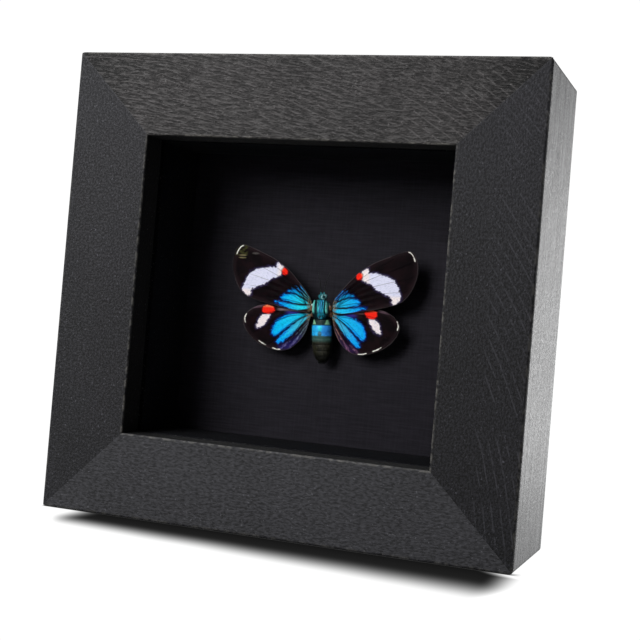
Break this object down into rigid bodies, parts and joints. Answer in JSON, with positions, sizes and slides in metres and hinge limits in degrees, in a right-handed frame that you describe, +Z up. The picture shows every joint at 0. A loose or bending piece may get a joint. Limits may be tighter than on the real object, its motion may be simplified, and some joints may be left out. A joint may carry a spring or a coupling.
{
  "type": "framed moth specimen",
  "caption": "Spread day-flying moth pinned on a black linen board behind glass, in a deep mitred black wooden shadow-box frame that stands on its bottom edge.",
  "frame": {"origin": "on the standing surface, under the middle of the whole object", "axes": "+Z up the frame, -Y out of the glazed front, +X to the right as seen from the front"},
  "size_m": [0.127, 0.043, 0.123],
  "materials": {
    "black_wood": "black stained, satin, with fine saw marks",
    "glass": "clear, polished",
    "black_card": "matt black",
    "linen_board": "black paper with a fine linen grain",
    "hardboard": "smooth brown hardboard",
    "steel": "plain zinc plated",
    "moth_body": "metallic blue-green scales, olive towards the tail",
    "wing": "brown-black scales with bright blue rays, lilac-white bands and red spots"
  },
  "bodies": {
    "root": {"rail_top": "black_wood", "rail_bottom": "black_wood", "stile_left": "black_wood", "stile_right": "black_wood", "glass_pane": "glass", "spacer_top": "black_card", "spacer_bottom": "black_card", "spacer_left": "black_card", "spacer_right": "black_card", "mount_board": "linen_board", "back_panel": "hardboard", "point_top": "steel", "point_bottom": "steel", "point_left": "steel", "point_right": "steel", "hanger": "steel", "hanger_nail_left": "steel", "hanger_nail_right": "steel", "moth_body": "moth_body", "forewing_left": "wing", "forewing_right": "wing", "hindwing_left": "wing", "hindwing_right": "wing", "mounting_pin": "steel"}
  },
  "joints": []
}
